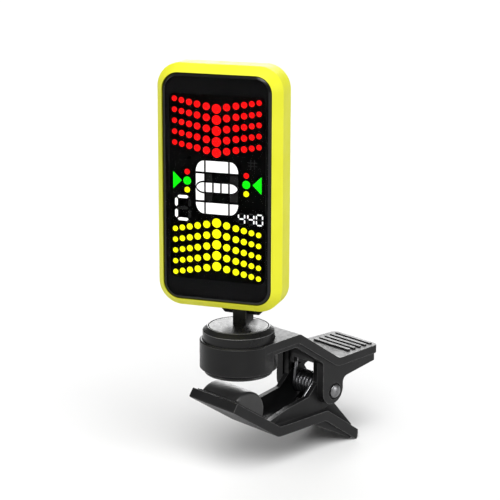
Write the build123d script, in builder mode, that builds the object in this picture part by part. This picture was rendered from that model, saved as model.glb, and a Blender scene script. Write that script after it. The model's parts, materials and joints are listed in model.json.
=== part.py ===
"""Clip-on instrument tuner.

A rectangular display head tilts on a short neck, the neck swivels on a drum, and the drum
is the upper jaw of a spring clip.

Frame, in millimetres: the origin is the middle of the upper pad's rubber face, +Z runs up
the swivel axis, +X runs from the jaw's tip to the finger levers, and Y runs along the
pivot pin.
"""

import os
from math import cos, hypot, radians, sin

from build123d import *

os.makedirs("parts", exist_ok=True)

# ---------------------------------------------------------------- driving dimensions

# Fits
RUNNING = 0.05  # radial clearance of a shaft that turns
SLIDING = 0.12  # gap round a key or a hatch
FLUSH = 0.05  # gap between stacked flat pieces

# Swivel drum and its rubber pad, about the Z axis
DRUM_R = 10.0
DRUM_TOP = 8.86
DRUM_FLOOR = 6.4
DRUM_WEB = 4.5  # underside of the web that carries the swivel
PAD_R = 8.8
PAD_H = 0.8
PAD_EDGE = 0.3
SCREW_POCKET_R = 4.5

# Collar, neck and their screw
COLLAR_R = 9.23
COLLAR_SKIRT_R = 8.5
COLLAR_SHOULDER = 11.2
COLLAR_TOP = 12.3
COLLAR_LIP_R = 7.95
COLLAR_GROOVE = 0.2
SWIVEL_SCREW_R = 0.9
SWIVEL_SCREW_HEAD = 1.1
SWIVEL_SCREW_LEN = 5.4
SWIVEL_WASHER_T = 0.45
SPRING_T = 0.2
COLLAR_SINK = 0.46  # the collar sits this far down in the drum's rim
NECK_DISC_R = 7.6
NECK_DISC_H = 0.8
HUB_R = 2.9
NECK_FRONT = -0.56  # neck's front face, from the swivel axis
NECK_DEPTH = 5.96
NECK_HALF_W = 1.8

# Tilt hinge, across the neck's top
TILT_D = NECK_FRONT - NECK_DEPTH / 2
TILT_Z = 17.7
TILT_R = 3.2
TILT_SCREW_R = 1.0
TILT_HEAD_R = 1.9
TILT_NUT_R = 2.1
TILT_POCKET = 1.2  # depth of the pockets for the screw's head and nut
EAR_GAP = 1.95  # the hinge arms run from here to EAR_END on each side
EAR_END = 5.35
EAR_CHAMFER = 0.9

# Head, stored turned to this angle about the swivel axis
HEAD_TURN = 28.24
HEAD_FRONT = 16.35  # front of the lens, from the swivel axis
HEAD_DEPTH = 8.28
HEAD_BACK = HEAD_FRONT - HEAD_DEPTH
HEAD_W = 31.96
HEAD_LOW = 20.78
HEAD_HIGH = 80.88
HEAD_CORNER = 6.0
LENS_W = 27.92
LENS_LOW = 22.80
LENS_HIGH = 78.86
LENS_CORNER = 4.2
FACE_CHAMFER = 2.56  # depth of the frame's sloping front border
LEDGE_D = 15.55  # the lens and its mask sit on this ledge
LEDGE_T = 0.8
LENS_BEVEL = 0.85
LENS_BEVEL_T = 0.4
MASK_T = 0.1
WINDOW_W = 24.4
WINDOW_LOW = 28.15
WINDOW_HIGH = 73.85
CAVITY_W = 28.8
CAVITY_LOW = HEAD_LOW + 1.6
CAVITY_HIGH = HEAD_HIGH - 1.6

# Display, light and board, stacked behind the ledge
LCD_W = 25.4
LCD_LOW = 27.3
LCD_HIGH = 74.5
LCD_T = 1.45
LIGHT_T = 0.65
PCB_D = 11.0
PCB_T = 0.9
SWITCH_W = 4.2
SWITCH_T = 1.1
PLUNGER_T = 0.9
PIEZO = (-5.5, 29.2)
PIEZO_R = 4.4
CHIP = (5.5, 31.2)
CHIP_W = 6.4
CHIP_T = 0.95

# Posts and screws that close the case
POST_R = 1.7
POST_U = 11.3
POST_Z = (25.4, 76.3)
CASE_SCREW_R = 0.6
CASE_HEAD_R = 1.55
CASE_HEAD_T = 0.7
CASE_SCREW_LEN = 4.0

# Back cover: plate in the frame, and the raised housing for the battery and the keys
PLATE_D = 9.2  # inner face of the plate
HUMP_D = 5.8
HUMP_W = 26.0
HUMP_LOW = 33.0
HUMP_HIGH = 74.5
HUMP_WALL = 1.1
HUMP_CORNER = 3.5
HUMP_CHAMFER = 0.7
ARM_GAP = 0.25  # the hinge arms stop this far behind the frame
HATCH_W = 21.8
HATCH_LOW = 50.0
HATCH_RAIL = 0.7
LIP_T = 0.55
RAIL_T = 0.5
CELL_R = 10.0
CELL_H = 3.2
CELL_Z = 62.0
CELL_D = 7.4  # the cell's outer face
CONTACT_T = 0.25

# Keys: width and height of each face, and its place across the head
KEY_Z = 41.5
KEY_PROUD = 0.5
KEY_TRAVEL = 0.4
KEY_STEM_R = 0.8
KEY_RIM = 0.5  # hidden rim that holds a key in
KEYS = {
    "pitch_down_key": (-8.0, 4.4, 4.4),
    "power_key": (0.0, 4.2, 8.0),
    "pitch_up_key": (8.0, 4.4, 4.4),
}

# Pivot of the clip
PIVOT_X = 26.8
PIVOT_Z = -9.6
PIN_R = 1.25
PIN_HEAD_R = 1.8
PIN_RECESS_R = 2.3
PIN_RECESS = 0.5
PIN_WASHER_T = 0.35
PIN_HEAD_T = 0.8  # side of the rivet's head
PIN_DOME = 0.55  # rise of its dome

# Upper lever: its top line in X and Z, and its half widths
ARM_TOP = [(0.0, 8.95), (12.4, 9.56), (27.9, -0.5), (43.8, -0.3)]
ARM_HALF_W = 10.0
ARM_END_HALF_W = 8.2
ARM_BAND = 2.2
ARM_SKIRT = 3.4
ARM_STEP = 0.55  # the skirt and cheeks sit this far inside the band
END_STEP = 0.15
ARM_PLATE = 1.9
CHEEK_FRONT = 22.1
CHEEK_REAR = 30.05
CHEEK_INNER = 6.6
CHEEK_LOW = -12.95
FINGER_LOW = (-6.4, -4.6)  # finger skirt's lower edge, at the cheek and at the end
GRIP_X = 34.2
GRIP_STEP = 2.13
GRIP_COUNT = 5
GRIP_LEN = 13.4
GRIP_W = 1.0
GRIP_H = 0.5

# Lower lever
JAW_TOP = [(-8.1, -4.72), (7.0, -14.75), (24.7, -14.7), (37.6, -23.7)]
JAW_HALF_W = 8.55
JAW_END_HALF_W = 8.0
JAW_BAND = 2.6
WALL_IN = 4.75
WALL_OUT = 6.2
SEAT_T = 0.45
SEAT_HALF_W = 7.1
SEAT_FROM = 1.3  # along the slope, from the tip
SEAT_TO = 12.9
TIP_RIDGES = (0.35, 0.8)  # where two fine ridges start, along the slope
TIP_RIDGE_W = 0.25

# Lower rubber bar
BAR_R = 5.7
BAR_DROP = 1.25  # its centre line lies this far under the seat's face
BAR_LEN = 13.4
BAR_ALONG = 6.92  # its middle, along the slope from the tip
BAR_EDGE = 0.6

# Torsion spring
WIRE_R = 0.5
COIL_R = 2.75
COIL_PITCH = 1.17
COIL_TURNS = 5.875
COIL_LEN = COIL_TURNS * COIL_PITCH
COIL_FAR = 4.1  # Y of the coil's far end
COIL_START = -45  # degrees, sets where round the pin the coil's ends lie
KNUCKLE = 0.03  # extra radius where a leg leaves the coil
LOW_LEG = 8.6
SPRING_HIGH_TIP = (25.1, -1.7)  # X and Z where the upper leg ends
PEG_ALONG = 7.0  # the peg that holds the lower leg is this far along it
PEG_R = 0.6
PEG_IN = 2.3  # Y of the peg's free end, on the near side
WEB_TOP_Z = -13.3  # top of the cross web behind the coil

# ---------------------------------------------------------------- frames and helpers

FRONT = Vector(-cos(radians(HEAD_TURN)), -sin(radians(HEAD_TURN)), 0)
ACROSS = Vector(sin(radians(HEAD_TURN)), -cos(radians(HEAD_TURN)), 0)
# Sketches on HEAD are drawn as (across, up), and HEAD.offset(d) lies d in front of the axis.
HEAD = Plane(origin=(0, 0, 0), x_dir=ACROSS, z_dir=FRONT)
# Sketches on NECK_SIDE are drawn as (forward, up).
NECK_SIDE = Plane(origin=(0, 0, 0), x_dir=FRONT, z_dir=-ACROSS)
# Sketches on CLIP_SIDE are drawn as (X, Z).
CLIP_SIDE = Plane.XZ
SWIVEL = Axis.Z
PIVOT = Axis((PIVOT_X, 0, PIVOT_Z), (0, 1, 0))


def finish(piece, label):
    """Labels a finished piece and writes it."""
    piece.part.label = label
    export_step(piece.part, f"parts/{label}.step")


def lowered(path, depth):
    """The open path moved down by depth, with its corners kept sharp."""
    lines = []
    for (x0, z0), (x1, z1) in zip(path, path[1:]):
        run = hypot(x1 - x0, z1 - z0)
        shift_x = (z1 - z0) / run * depth
        shift_z = -(x1 - x0) / run * depth
        lines.append(((x0 + shift_x, z0 + shift_z), (x1 + shift_x, z1 + shift_z)))
    moved = [lines[0][0]]
    for (a, b), (c, d) in zip(lines, lines[1:]):
        rx, rz = b[0] - a[0], b[1] - a[1]
        sx, sz = d[0] - c[0], d[1] - c[1]
        t = ((c[0] - a[0]) * sz - (c[1] - a[1]) * sx) / (rx * sz - rz * sx)
        moved.append((a[0] + rx * t, a[1] + rz * t))
    return moved + [lines[-1][1]]


def height_at(path, x):
    """The height of an open path at x."""
    for (x0, z0), (x1, z1) in zip(path, path[1:]):
        if x <= x1:
            break
    return z0 + (z1 - z0) * (x - x0) / (x1 - x0)


# ---------------------------------------------------------------- clip, upper side

# Rubber pad under the drum, with a spigot that covers the swivel screw
with BuildPart() as upper_pad:
    with BuildSketch():
        Circle(PAD_R)
    extrude(amount=PAD_H)
    fillet(upper_pad.faces().sort_by(Axis.Z)[0].edges(), PAD_EDGE)
    with BuildSketch(Plane.XY.offset(PAD_H)):
        Circle(SCREW_POCKET_R - 2 * RUNNING)
    extrude(amount=0.5)
finish(upper_pad, "upper_pad")


def arm_plan(inset, end_inset):
    """The upper lever from above: straight beside the drum, then tapering to the finger end."""
    half = ARM_HALF_W - inset
    end = ARM_END_HALF_W - inset
    ridge_x = ARM_TOP[1][0]
    end_x = ARM_TOP[-1][0] - end_inset
    return [(0, half), (ridge_x, half), (end_x, end), (end_x, -end), (ridge_x, -half), (0, -half)]


ARM_PLAN_R = [0, 6, 1.2, 1.2, 6, 0]


# Band along the upper lever's top edge
with BuildPart() as arm_band:
    band_under = lowered(ARM_TOP, ARM_BAND)
    with BuildSketch(CLIP_SIDE):
        with BuildLine():
            FilletPolyline(
                ARM_TOP + band_under[::-1],
                radius=[0, 1.6, 3.4, 0, 0, 5.6, 1.2, 0],
                close=True,
            )
        make_face()
    extrude(amount=ARM_HALF_W, both=True)
    with BuildSketch(Plane.XY.offset(-10)):
        with BuildLine():
            FilletPolyline(arm_plan(0, 0), radius=ARM_PLAN_R, close=True)
        make_face()
    extrude(amount=25, mode=Mode.INTERSECT)

# Skirt and cheeks below the band, a little inside it
with BuildPart() as arm_skirt:
    skirt_top = lowered(ARM_TOP, 1.0)
    skirt_low = lowered(ARM_TOP, ARM_SKIRT)
    end_x = ARM_TOP[-1][0]
    arm_outline = [
        skirt_top[0],
        skirt_top[1],
        skirt_top[2],
        (end_x, skirt_top[3][1]),
        (end_x, FINGER_LOW[1]),
        (CHEEK_REAR, FINGER_LOW[0]),
        (CHEEK_REAR, CHEEK_LOW),
        (CHEEK_FRONT, CHEEK_LOW),
        (CHEEK_FRONT, height_at(skirt_low, CHEEK_FRONT)),
        skirt_low[1],
        skirt_low[0],
    ]
    with BuildSketch(CLIP_SIDE):
        with BuildLine():
            FilletPolyline(
                arm_outline,
                radius=[0, 0.6, 4.4, 0, 0, 1.8, 3.9, 3.9, 1.5, 0.8, 0],
                close=True,
            )
        make_face()
    extrude(amount=ARM_HALF_W, both=True)
    with BuildSketch(Plane.XY.offset(-20)):
        with BuildLine():
            FilletPolyline(arm_plan(ARM_STEP, END_STEP), radius=ARM_PLAN_R, close=True)
        make_face()
    extrude(amount=40, mode=Mode.INTERSECT)

# Space under the lever's plate: wide ahead of the cheeks, narrower between them and behind
with BuildPart() as arm_hollow:
    roof = lowered(ARM_TOP, ARM_PLATE)
    front_x = DRUM_R + 0.4
    back_x = end_x - 1.6
    with BuildSketch(CLIP_SIDE):
        with BuildLine():
            Polyline(
                (front_x, height_at(roof, front_x)),
                roof[1],
                roof[2],
                (back_x, height_at(roof, back_x)),
                (back_x, -20),
                (front_x, -20),
                close=True,
            )
        make_face()
    extrude(amount=CHEEK_INNER, both=True)
    with BuildSketch(CLIP_SIDE):
        with BuildLine():
            Polyline(
                (front_x, height_at(roof, front_x)),
                roof[1],
                (CHEEK_FRONT - 1.2, height_at(roof, CHEEK_FRONT - 1.2)),
                (CHEEK_FRONT - 1.2, -20),
                (front_x, -20),
                close=True,
            )
        make_face()
    extrude(amount=CHEEK_INNER + 1.4, both=True)

# Drum: an outer shell with a seat for the collar, a bearing web and a pocket for the screw
with BuildPart() as drum:
    with BuildSketch(CLIP_SIDE):
        with BuildLine():
            Polyline(
                (SCREW_POCKET_R, PAD_H),
                (PAD_R + 0.1, PAD_H),
                (PAD_R + 0.25, PAD_H + 0.1),
                (DRUM_R, PAD_H + 0.75),
                (DRUM_R, DRUM_TOP - 0.3),
                (DRUM_R - 0.3, DRUM_TOP),
                (COLLAR_R + 0.22, DRUM_TOP),
                (COLLAR_R + 0.22, DRUM_TOP - COLLAR_SINK - 2 * FLUSH),
                (COLLAR_SKIRT_R + 0.1, DRUM_TOP - COLLAR_SINK - 2 * FLUSH),
                (COLLAR_SKIRT_R + 0.1, DRUM_FLOOR),
                (HUB_R + RUNNING, DRUM_FLOOR),
                (HUB_R + RUNNING, DRUM_WEB),
                (SCREW_POCKET_R, DRUM_WEB),
                close=True,
            )
        make_face()
    revolve(axis=SWIVEL)

# Room that the turning collar needs above the drum's web
with BuildPart() as collar_room:
    with BuildSketch(Plane.XY.offset(DRUM_FLOOR)):
        Circle(COLLAR_SKIRT_R + 0.1)
    extrude(amount=DRUM_TOP - COLLAR_SINK - 2 * FLUSH - DRUM_FLOOR)
    with BuildSketch(Plane.XY.offset(DRUM_TOP - COLLAR_SINK - 2 * FLUSH)):
        Circle(COLLAR_R + 0.22)
    extrude(amount=5)
    with BuildSketch():
        Circle(DRUM_R - 1)
    extrude(amount=DRUM_FLOOR)

STOP_X = (22.5, 23.9)
RIB_X = (22.9, 24.3)
RIB_LOW = -1.9
LUG_LOW = -3.6
WALL_SLOPE = [(19.4, -10.2), (23.2, -6.4)]  # front slope of the lower lever's pivot walls

with BuildPart() as upper_jaw:
    add(arm_band.part)
    add(arm_skirt.part)
    add(arm_hollow.part, mode=Mode.SUBTRACT)
    add(collar_room.part, mode=Mode.SUBTRACT)
    add(drum.part)
    # Cross rib and its lug, which the spring's upper leg bears on
    with BuildSketch(CLIP_SIDE):
        with BuildLine():
            Polyline(
                (RIB_X[0], 2.0),
                (RIB_X[1], 1.2),
                (RIB_X[1], RIB_LOW),
                (RIB_X[0], RIB_LOW),
                close=True,
            )
        make_face()
    extrude(amount=CHEEK_INNER + 0.5, both=True)
    with BuildSketch(CLIP_SIDE.offset(-COIL_FAR + 1)):
        with BuildLine():
            Polyline(
                (RIB_X[0], RIB_LOW),
                (RIB_X[1], RIB_LOW),
                (RIB_X[1], LUG_LOW),
                (RIB_X[0], LUG_LOW),
                close=True,
            )
        make_face()
    extrude(amount=-CHEEK_INNER - 0.5 + COIL_FAR - 1)
    # Stop posts, which meet the pivot walls' slopes when the clip is shut
    for side in (1, -1):
        with BuildSketch(CLIP_SIDE.offset(side * (WALL_IN + WALL_OUT) / 2)):
            with BuildLine():
                Polyline(
                    (STOP_X[0], 1.5),
                    (STOP_X[1], 1.0),
                    (STOP_X[1], height_at(WALL_SLOPE, STOP_X[1]) + FLUSH),
                    (STOP_X[0], height_at(WALL_SLOPE, STOP_X[0]) + FLUSH),
                    close=True,
                )
            make_face()
        extrude(amount=(WALL_OUT - WALL_IN) / 2, both=True)
    # Grip bars across the finger pad
    grips = [(GRIP_X + i * GRIP_STEP, 0) for i in range(GRIP_COUNT)]
    with BuildSketch(Plane.XY.offset(ARM_TOP[2][1] - 0.8)):
        with Locations(*grips):
            SlotOverall(GRIP_LEN, GRIP_W, rotation=90)
    extrude(amount=0.8 + GRIP_H)
    # Pin hole, with a recess in each cheek
    with Locations(CLIP_SIDE.offset(ARM_HALF_W)):
        with Locations((PIVOT_X, PIVOT_Z)):
            Hole(PIN_R, depth=2 * ARM_HALF_W)
    cheek_face = ARM_HALF_W - ARM_STEP - (ARM_HALF_W - ARM_END_HALF_W) * (
        PIVOT_X - ARM_TOP[1][0]
    ) / (ARM_TOP[-1][0] - ARM_TOP[1][0])
    for side in (1, -1):
        with BuildSketch(CLIP_SIDE.offset(side * (cheek_face - PIN_RECESS))):
            with Locations((PIVOT_X, PIVOT_Z)):
                Circle(PIN_RECESS_R)
        extrude(amount=side * 2, mode=Mode.SUBTRACT)
finish(upper_jaw, "upper_jaw")

# Pivot pin: a rivet whose domed head shows in the near cheek, peened over a washer behind
near = -cheek_face + PIN_RECESS
far = cheek_face - PIN_RECESS
head_side = near - PIN_HEAD_T
dome_rise = PIN_DOME
dome_r = (PIN_HEAD_R**2 + dome_rise**2) / (2 * dome_rise)

with BuildPart() as pivot_pin:
    with BuildSketch(Plane.XY.offset(PIVOT_Z)):
        with BuildLine():
            Polyline(
                (PIVOT_X, head_side - dome_rise),
                (PIVOT_X, far + 0.9),
                (PIVOT_X + 1.0, far + 0.9),
                (PIVOT_X + 1.6, far + 0.65),
                (PIVOT_X + 1.6, far + PIN_WASHER_T),
                (PIVOT_X + PIN_R, far + PIN_WASHER_T),
                (PIVOT_X + PIN_R, near),
                (PIVOT_X + PIN_HEAD_R, near),
                (PIVOT_X + PIN_HEAD_R, head_side),
            )
            RadiusArc(
                (PIVOT_X + PIN_HEAD_R, head_side),
                (PIVOT_X, head_side - dome_rise),
                dome_r,
            )
        make_face()
    revolve(axis=PIVOT)
finish(pivot_pin, "pivot_pin")

with BuildPart() as pin_washer:
    with BuildSketch(CLIP_SIDE.offset(-far)):
        with Locations((PIVOT_X, PIVOT_Z)):
            Circle(PIN_RECESS_R - 0.2)
            Circle(PIN_R, mode=Mode.SUBTRACT)
    extrude(amount=-PIN_WASHER_T)
finish(pin_washer, "pin_washer")

# Place of the peg that holds the lower leg: square off the leg's line, PEG_ALONG down it
leg_off = WIRE_R + PEG_R + FLUSH
PEG_AT = (
    PIVOT_X - (COIL_R + PEG_ALONG + leg_off) * sin(radians(45)),
    PIVOT_Z + (COIL_R - PEG_ALONG + leg_off) * sin(radians(45)),
)

# Torsion spring: a close coil round the pin, with a leg up at one end and down at the other
with BuildPart() as torsion_spring:
    coil = Helix(
        COIL_PITCH,
        COIL_LEN,
        COIL_R,
        center=(PIVOT_X, COIL_FAR - COIL_LEN, PIVOT_Z),
        direction=(0, 1, 0),
        mode=Mode.PRIVATE,
    ).rotate(PIVOT, COIL_START)
    with BuildLine():
        add(coil)
    with BuildSketch(Plane(origin=coil @ 0, z_dir=coil % 0)):
        Circle(WIRE_R)
    sweep(is_frenet=True)
    low_leg = Vector(-LOW_LEG * sin(radians(-COIL_START)), 0, -LOW_LEG * cos(radians(COIL_START)))
    high_leg = Vector(SPRING_HIGH_TIP[0], COIL_FAR, SPRING_HIGH_TIP[1]) - (coil @ 1)
    for end, leg in ((coil @ 0, low_leg), (coil @ 1, high_leg)):
        with BuildSketch(Plane(origin=end, z_dir=leg)):
            Circle(WIRE_R)
        extrude(amount=leg.length)
        with Locations(end):
            Sphere(WIRE_R + KNUCKLE)
        with Locations(end + leg):
            Sphere(WIRE_R)
finish(torsion_spring, "torsion_spring")

# ---------------------------------------------------------------- clip, lower side


def jaw_plan(inset):
    """The lower lever from above: straight jaw, slightly tapered finger lever."""
    half = JAW_HALF_W - inset
    end = JAW_END_HALF_W - inset
    tip_x = JAW_TOP[0][0] - 2.5 + inset
    bend_x = JAW_TOP[1][0] + 5
    end_x = JAW_TOP[-1][0] - inset
    return [
        (tip_x, half),
        (bend_x, half),
        (end_x, end),
        (end_x, -end),
        (bend_x, -half),
        (tip_x, -half),
    ]


# Direction along the jaw's slope, and square to it
slope_run = JAW_TOP[1][0] - JAW_TOP[0][0]
slope_drop = JAW_TOP[1][1] - JAW_TOP[0][1]
ALONG_JAW = Vector(slope_run, 0, slope_drop).normalized()
JAW_FACE = Plane(origin=(JAW_TOP[0][0], 0, JAW_TOP[0][1]), x_dir=ALONG_JAW, z_dir=(0, -1, 0))

with BuildPart() as jaw_band:
    jaw_under = lowered(JAW_TOP, JAW_BAND)
    with BuildSketch(CLIP_SIDE):
        with BuildLine():
            FilletPolyline(
                JAW_TOP + jaw_under[::-1],
                radius=[0.3, 1.2, 1.4, 0.3, 0.4, 1.0, 3.5, 0.4],
                close=True,
            )
        make_face()
    extrude(amount=JAW_HALF_W, both=True)
    with BuildSketch(Plane.XY.offset(-30)):
        with BuildLine():
            FilletPolyline(jaw_plan(0), radius=[1.4, 20, 1.4, 1.4, 20, 1.4], close=True)
        make_face()
    extrude(amount=40, mode=Mode.INTERSECT)

with BuildPart() as lower_jaw:
    add(jaw_band.part)
    # Skirt under the finger lever, deepest at the bend
    with BuildSketch(CLIP_SIDE):
        with BuildLine():
            FilletPolyline(
                (18.6, -15.8),
                (24.7, -15.8),
                (36.0, -24.0),
                (34.5, -25.3),
                (20.2, -17.8),
                radius=[0, 0, 0, 0.4, 0.6],
                close=True,
            )
        make_face()
    extrude(amount=JAW_END_HALF_W - 0.8, both=True)
    # Raised seat under the rubber bar, with two fine ridges at the tip
    with BuildSketch(JAW_FACE):
        with Locations((SEAT_FROM, -0.5)):
            Rectangle(SEAT_TO - SEAT_FROM, SEAT_T + 0.5, align=Align.MIN)
        for start in TIP_RIDGES:
            with Locations((start, -0.5)):
                Rectangle(TIP_RIDGE_W, SEAT_T + 0.3, align=Align.MIN)
    extrude(amount=SEAT_HALF_W, both=True)
    # Two walls that carry the pivot
    wall_outline = [
        (4.6, -13.6),
        (11.3, -11.6),
        WALL_SLOPE[0],
        WALL_SLOPE[1],
        (25.0, -5.2),
        (28.0, -5.0),
        (29.9, -8.0),
        (29.9, -11.2),
        (28.4, -13.3),
        (35.9, -21.8),
        (35.4, -23.3),
        (24.7, -15.9),
        (7.0, -15.9),
        (4.2, -14.0),
    ]
    for side in (1, -1):
        with BuildSketch(CLIP_SIDE.offset(side * (WALL_IN + WALL_OUT) / 2)):
            with BuildLine():
                FilletPolyline(
                    wall_outline,
                    radius=[0, 2.0, 1.6, 0.3, 1.2, 1.6, 1.6, 1.2, 0.5, 0, 0, 0, 0, 0],
                    close=True,
                )
            make_face()
        extrude(amount=(WALL_OUT - WALL_IN) / 2, both=True)
    with Locations(CLIP_SIDE.offset(WALL_OUT + 1)):
        with Locations((PIVOT_X, PIVOT_Z)):
            Hole(PIN_R + RUNNING, depth=2 * WALL_OUT + 2)
    # Cross web behind the coil
    with BuildSketch(CLIP_SIDE):
        with BuildLine():
            Polyline(
                (27.6, WEB_TOP_Z),
                (28.4, WEB_TOP_Z),
                (29.3, WEB_TOP_Z - 1.1),
                (29.3, height_at(JAW_TOP, 29.3) - 0.4),
                (27.6, height_at(JAW_TOP, 27.6) - 0.4),
                close=True,
            )
        make_face()
    extrude(amount=WALL_IN + 0.3, both=True)
    # Peg on the near wall, over the spring's lower leg
    with BuildSketch(CLIP_SIDE.offset(PEG_IN)):
        with Locations(PEG_AT):
            Circle(PEG_R)
    extrude(amount=WALL_IN + 0.3 - PEG_IN)
finish(lower_jaw, "lower_jaw")

# Rounded rubber bar on the jaw's seat
BAR = Plane(origin=JAW_FACE.from_local_coords((BAR_ALONG, SEAT_T)), x_dir=ALONG_JAW, z_dir=(0, -1, 0))

with BuildPart() as lower_pad:
    with BuildSketch(BAR):
        with Locations((0, -BAR_DROP)):
            Circle(BAR_R)
        with Locations((0, -BAR_R)):
            Rectangle(3 * BAR_R, 2 * BAR_R, mode=Mode.SUBTRACT)
    extrude(amount=BAR_LEN / 2, both=True)
    ends = lower_pad.faces().filter_by(Axis.Y)
    fillet([ends.sort_by(Axis.Y)[k].edges().filter_by(GeomType.CIRCLE)[0] for k in (0, -1)], BAR_EDGE)
finish(lower_pad, "lower_pad")

# ---------------------------------------------------------------- swivel

# Collar: a ring that turns in the drum's rim and frames the neck's disc
collar_low = DRUM_TOP - COLLAR_SINK - FLUSH
disc_low = COLLAR_TOP - NECK_DISC_H

with BuildPart() as swivel_collar:
    with BuildSketch(CLIP_SIDE):
        with BuildLine():
            Polyline(
                (HUB_R + RUNNING, DRUM_FLOOR + FLUSH),
                (COLLAR_SKIRT_R, DRUM_FLOOR + FLUSH),
                (COLLAR_SKIRT_R, collar_low),
                (COLLAR_R, collar_low),
                (COLLAR_R, COLLAR_SHOULDER),
                (COLLAR_LIP_R, COLLAR_TOP),
                (NECK_DISC_R + COLLAR_GROOVE, COLLAR_TOP),
                (NECK_DISC_R + COLLAR_GROOVE, disc_low),
                (HUB_R + RUNNING, disc_low),
                close=True,
            )
        make_face()
    revolve(axis=SWIVEL)
finish(swivel_collar, "swivel_collar")

# Neck: a disc with a hub through the drum's web, and a square post with the hinge eye
hub_low = DRUM_WEB - 2 * FLUSH
post_low = COLLAR_TOP - NECK_DISC_H / 2
washer_low = hub_low - SWIVEL_WASHER_T

with BuildPart() as neck:
    with BuildSketch(Plane.XY.offset(disc_low)):
        Circle(NECK_DISC_R)
    extrude(amount=NECK_DISC_H)
    chamfer(neck.faces().sort_by(Axis.Z)[-1].edges(), 0.12)
    with BuildSketch(Plane.XY.offset(hub_low)):
        Circle(HUB_R)
    extrude(amount=disc_low - hub_low)
    with BuildSketch(NECK_SIDE):
        with Locations((TILT_D, (post_low + TILT_Z) / 2)):
            Rectangle(NECK_DEPTH, TILT_Z - post_low)
        with Locations((TILT_D, TILT_Z)):
            Circle(NECK_DEPTH / 2)
            Circle(TILT_SCREW_R + RUNNING, mode=Mode.SUBTRACT)
    extrude(amount=NECK_HALF_W, both=True)
    with BuildSketch(Plane.XY.offset(hub_low)):
        Circle(SWIVEL_SCREW_R)
    extrude(amount=SWIVEL_SCREW_LEN, mode=Mode.SUBTRACT)
finish(neck, "neck")

# Washer, cone spring and screw that draw the neck down onto the drum's web
with BuildPart() as swivel_washer:
    with BuildSketch(Plane.XY.offset(washer_low)):
        Circle(HUB_R + 0.2)
        Circle(SWIVEL_SCREW_R, mode=Mode.SUBTRACT)
    extrude(amount=SWIVEL_WASHER_T)
finish(swivel_washer, "swivel_washer")

spring_in = HUB_R + 0.25
spring_out = SCREW_POCKET_R - 0.15
spring_high = DRUM_WEB - FLUSH / 2

with BuildPart() as friction_spring:
    with BuildSketch(CLIP_SIDE):
        with BuildLine():
            Polyline(
                (spring_in, washer_low),
                (spring_in + SPRING_T, washer_low),
                (spring_out, spring_high - SPRING_T),
                (spring_out, spring_high),
                (spring_out - SPRING_T, spring_high),
                (spring_in, washer_low + SPRING_T),
                close=True,
            )
        make_face()
    revolve(axis=SWIVEL)
finish(friction_spring, "friction_spring")


def cross_recess(width):
    """The crossed slots in a screw's head."""
    Rectangle(width, width / 5)
    Rectangle(width / 5, width)


with BuildPart() as swivel_screw:
    with BuildSketch(Plane.XY.offset(washer_low - SWIVEL_SCREW_HEAD)):
        Circle(2 * SWIVEL_SCREW_R)
    extrude(amount=SWIVEL_SCREW_HEAD)
    with BuildSketch(Plane.XY.offset(washer_low)):
        Circle(SWIVEL_SCREW_R)
    extrude(amount=SWIVEL_SCREW_LEN)
    with BuildSketch(Plane.XY.offset(washer_low - SWIVEL_SCREW_HEAD)):
        cross_recess(2.2 * SWIVEL_SCREW_R)
    extrude(amount=SWIVEL_SCREW_HEAD / 2, mode=Mode.SUBTRACT)
finish(swivel_screw, "swivel_screw")

# ---------------------------------------------------------------- head, front


def upright(width, low, high, corner, inset=0):
    """A rounded rectangle on the head, centred across it, drawn in by inset on every side."""
    with Locations((0, (low + high) / 2)):
        RectangleRounded(width - 2 * inset, high - low - 2 * inset, corner - inset)


HEAD_OUTLINE = (HEAD_W, HEAD_LOW, HEAD_HIGH, HEAD_CORNER)
LENS_OUTLINE = (LENS_W, LENS_LOW, LENS_HIGH, LENS_CORNER)
CAVITY_OUTLINE = (CAVITY_W, CAVITY_LOW, CAVITY_HIGH, HEAD_CORNER - 1.5)
LCD_OUTLINE = (LCD_W, LCD_LOW, LCD_HIGH, 0.3)
POSTS = [(u, z) for u in (-POST_U, POST_U) for z in POST_Z]

# Coloured frame: a sloping front border, flat sides, a ledge for the lens and four posts
with BuildPart() as bezel_frame:
    with BuildSketch(HEAD.offset(HEAD_BACK)):
        upright(*HEAD_OUTLINE)
    extrude(amount=HEAD_DEPTH - FACE_CHAMFER)
    with BuildSketch(HEAD.offset(HEAD_FRONT - FACE_CHAMFER)):
        upright(*HEAD_OUTLINE)
    with BuildSketch(HEAD.offset(HEAD_FRONT)):
        upright(*LENS_OUTLINE)
    loft()
    with BuildSketch(HEAD.offset(LEDGE_D)):
        upright(*LENS_OUTLINE)
    extrude(amount=HEAD_FRONT - LEDGE_D, mode=Mode.SUBTRACT)
    with BuildSketch(HEAD.offset(HEAD_BACK)):
        upright(*LCD_OUTLINE, inset=-0.2)
    extrude(amount=HEAD_DEPTH, mode=Mode.SUBTRACT)
    with BuildSketch(HEAD.offset(HEAD_BACK)):
        upright(*CAVITY_OUTLINE)
    extrude(amount=LEDGE_D - LEDGE_T - HEAD_BACK, mode=Mode.SUBTRACT)
    with BuildSketch(HEAD.offset(PLATE_D + FLUSH)):
        with Locations(*POSTS):
            Circle(POST_R)
    extrude(amount=LEDGE_D - LEDGE_T / 2 - PLATE_D - FLUSH)
    with BuildSketch(HEAD.offset(PLATE_D)):
        with Locations(*POSTS):
            Circle(CASE_SCREW_R)
    extrude(amount=CASE_SCREW_LEN, mode=Mode.SUBTRACT)
finish(bezel_frame, "bezel_frame")

# Printed mask behind the lens, open at the display
mask_d = LEDGE_D + FLUSH / 2

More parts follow.
